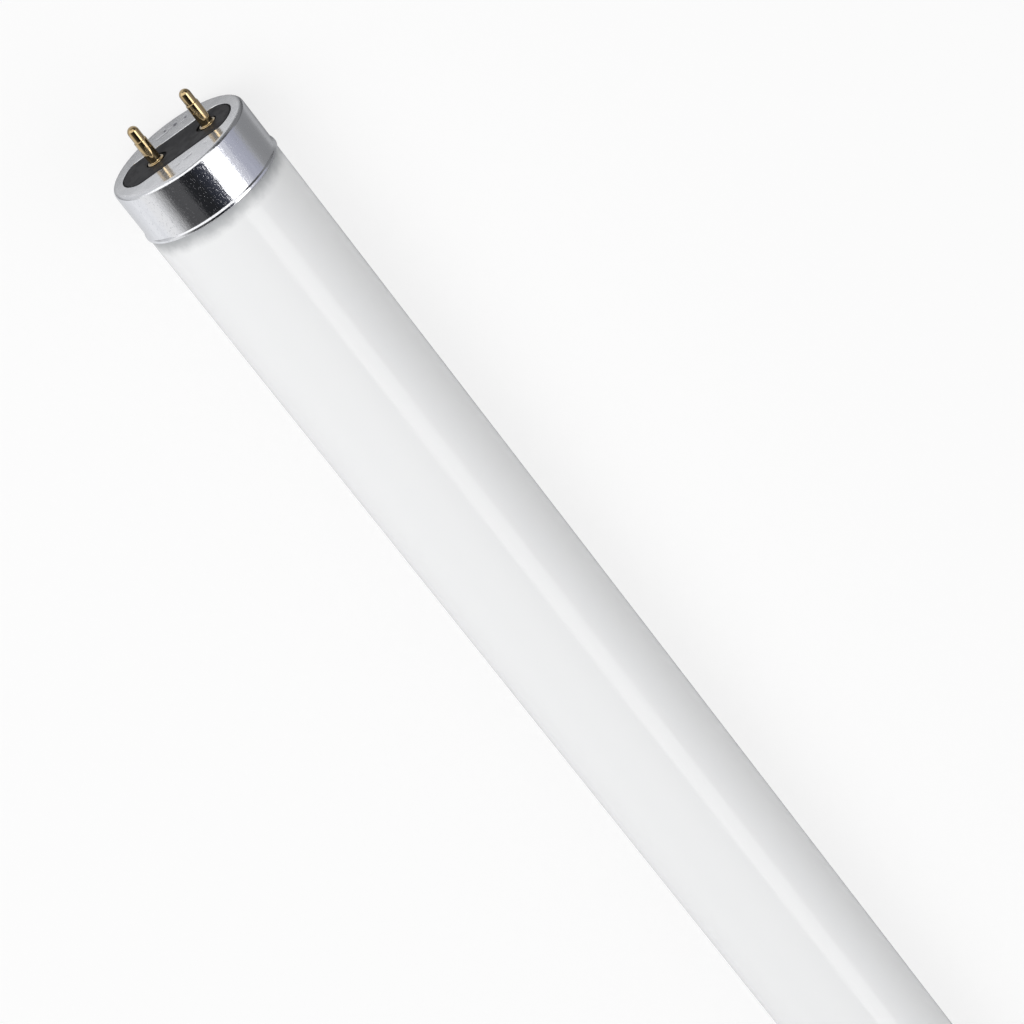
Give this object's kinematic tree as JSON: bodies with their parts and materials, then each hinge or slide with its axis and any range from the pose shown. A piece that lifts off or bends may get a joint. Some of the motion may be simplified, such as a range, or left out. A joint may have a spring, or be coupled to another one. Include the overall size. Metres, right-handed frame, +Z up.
{
  "type": "fluorescent tube",
  "caption": "Straight white fluorescent lamp tube with a metal end cap and a pair of brass contact pins at each end.",
  "frame": {"origin": "middle of the lamp on the axis of the glass tube, midway between the outer faces of the two caps", "axes": "+X along the tube from end a to end b, Y along the line of each end's two pins, +Z up"},
  "size_m": [0.5972, 0.0324, 0.0324],
  "materials": {
    "opal_glass": "gloss, white from the coating inside",
    "cap_metal": "satin, drawn",
    "pin_brass": "polished",
    "black_plate": "moulded phenolic, satin",
    "basing_cement": "matt",
    "lead_wire": "bright drawn wire"
  },
  "bodies": {
    "root": {"glass_tube": "opal_glass", "end_cap_a": "cap_metal", "end_cap_b": "cap_metal", "insulator_a": "black_plate", "insulator_b": "black_plate", "cement_a": "basing_cement", "cement_b": "basing_cement", "pin_a1": "pin_brass", "pin_a2": "pin_brass", "pin_b1": "pin_brass", "pin_b2": "pin_brass", "lead_wire_a1": "lead_wire", "lead_wire_a2": "lead_wire", "lead_wire_b1": "lead_wire", "lead_wire_b2": "lead_wire"}
  },
  "joints": []
}
